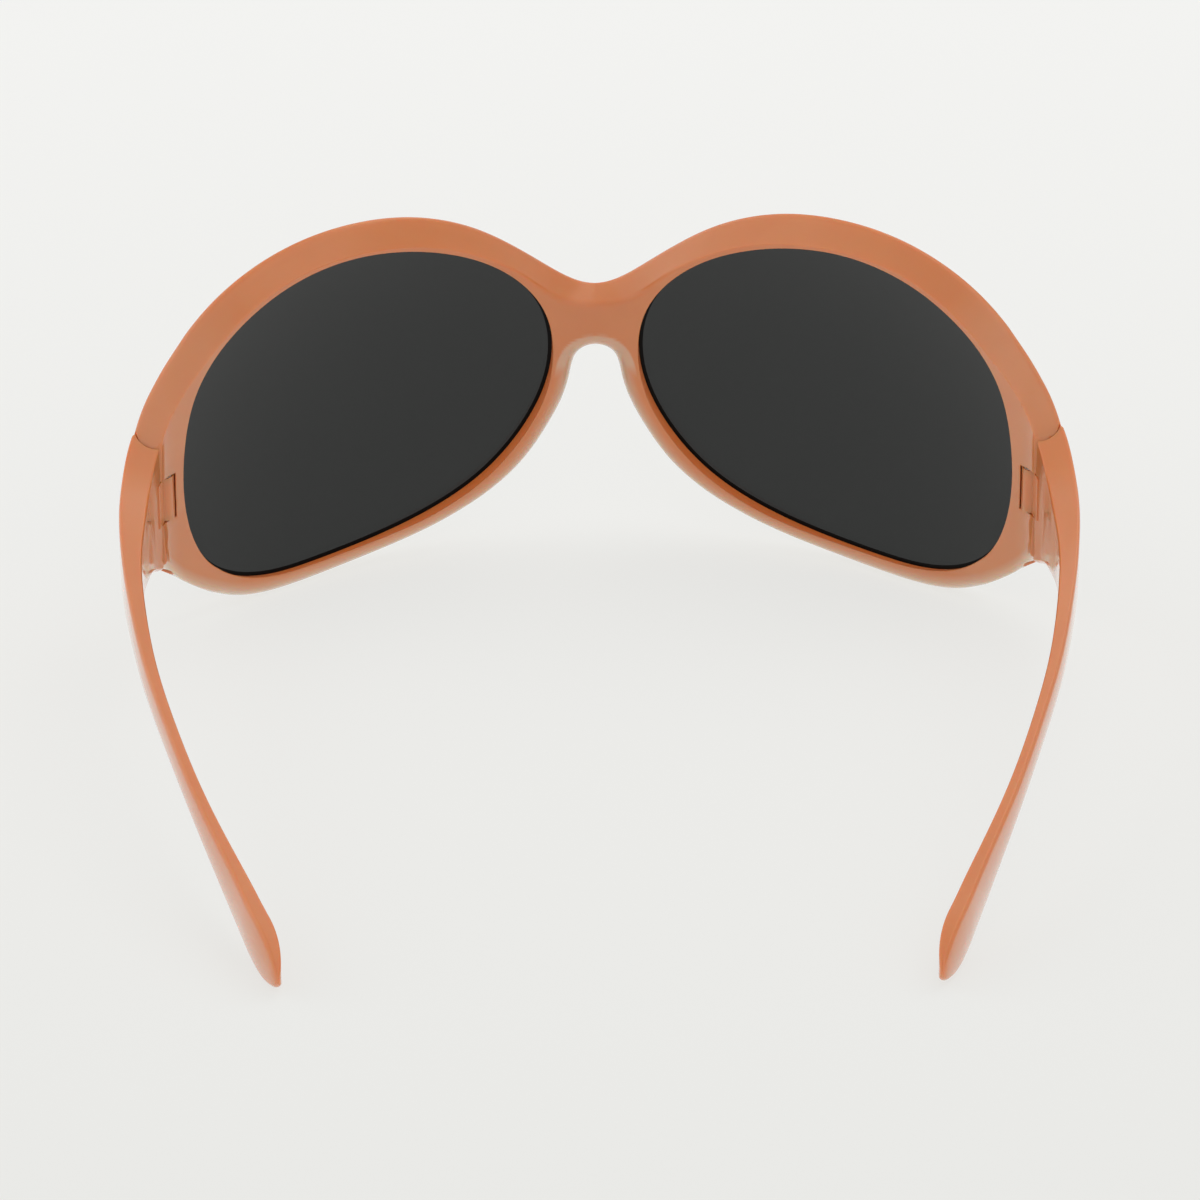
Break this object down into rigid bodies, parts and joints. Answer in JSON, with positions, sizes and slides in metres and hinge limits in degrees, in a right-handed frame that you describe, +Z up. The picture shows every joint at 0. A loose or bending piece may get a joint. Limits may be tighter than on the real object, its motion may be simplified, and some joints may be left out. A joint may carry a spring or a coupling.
{
  "type": "sunglasses",
  "caption": "Round wrap sunglasses with a one-colour plastic frame, tinted see-through lenses and folding temples that narrow from a tall hinge end to a flat tip.",
  "frame": {"origin": "the middle of the base of the bounding box, on the table that the open sunglasses stand on", "axes": "+Z up, +Y from the lenses back towards the temple tips, +X to the wearer's left"},
  "size_m": [0.1464, 0.1526, 0.0604],
  "materials": {
    "frame_plastic": "polished salmon orange",
    "temple_plastic": "polished salmon orange",
    "lens_tint": "dark grey see-through tint, polished",
    "screw_steel": "plain",
    "insert_brass": "turned",
    "washer_nylon": "natural nylon"
  },
  "bodies": {
    "front": {"front_frame": "frame_plastic", "left_lens": "lens_tint", "right_lens": "lens_tint", "left_hinge_screw": "screw_steel", "right_hinge_screw": "screw_steel", "left_threaded_insert": "insert_brass", "right_threaded_insert": "insert_brass", "left_upper_hinge_washer": "washer_nylon", "left_lower_hinge_washer": "washer_nylon", "right_upper_hinge_washer": "washer_nylon", "right_lower_hinge_washer": "washer_nylon"},
    "left_arm": {"left_temple": "temple_plastic"},
    "right_arm": {"right_temple": "temple_plastic"}
  },
  "joints": [
    {"name": "left_temple_hinge", "type": "hinge", "parent": "front", "child": "left_arm", "pos_m": [0.06757, -0.04116, 0.02249], "axis": [0, 0, 1], "range_deg": [0, 83]},
    {"name": "right_temple_hinge", "type": "hinge", "parent": "front", "child": "right_arm", "pos_m": [-0.06757, -0.04116, 0.02249], "axis": [0, 0, -1], "range_deg": [0, 78]}
  ]
}
